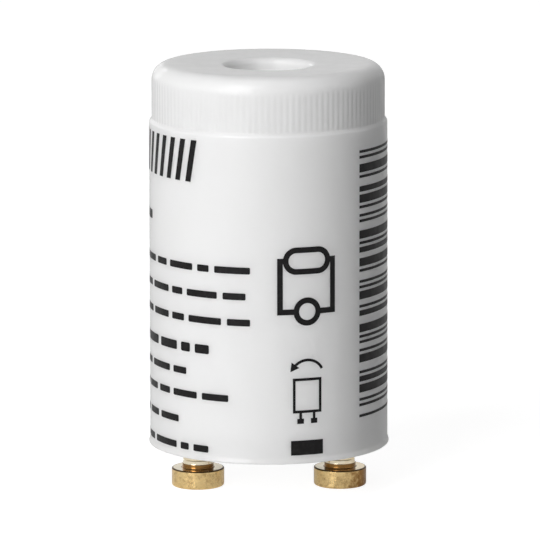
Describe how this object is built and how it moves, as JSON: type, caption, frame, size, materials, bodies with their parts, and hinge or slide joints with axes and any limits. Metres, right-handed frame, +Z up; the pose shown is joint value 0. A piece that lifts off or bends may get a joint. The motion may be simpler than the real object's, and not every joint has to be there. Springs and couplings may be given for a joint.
{
  "type": "led tube starter",
  "caption": "White cylindrical starter for a tube lamp, with a ribbed cap band, a recess in its flat top and turned brass mushroom pins under its base, joined inside by a fuse link.",
  "frame": {"origin": "middle of the footprint, on the plane of the two pins' end faces, where the starter stands", "axes": "+Z up along the can's axis, from the pins to the recessed top; +X from the left pin to the right pin, through both pins' axes; +Y away from the front"},
  "size_m": [0.0214, 0.0214, 0.0381],
  "materials": {
    "can_plastic": "white, satin gloss, moulded",
    "plate_plastic": "white, matt, moulded",
    "pin_brass": "turned, bare, scuffed round the head",
    "solder": "dull soft solder",
    "tinned_wire": "tinned copper",
    "nickel_plate": "nickel-plated sheet brass",
    "fuse_glass": "clear"
  },
  "bodies": {
    "root": {"housing": "can_plastic", "base_plate": "plate_plastic", "contact_pin_left": "pin_brass", "contact_pin_right": "pin_brass", "solder_joint_left": "solder", "solder_joint_right": "solder", "fuse_lead_left": "tinned_wire", "fuse_lead_right": "tinned_wire", "fuse_end_cap_left": "nickel_plate", "fuse_end_cap_right": "nickel_plate", "fuse_tube": "fuse_glass", "fuse_wire": "tinned_wire"}
  },
  "joints": []
}
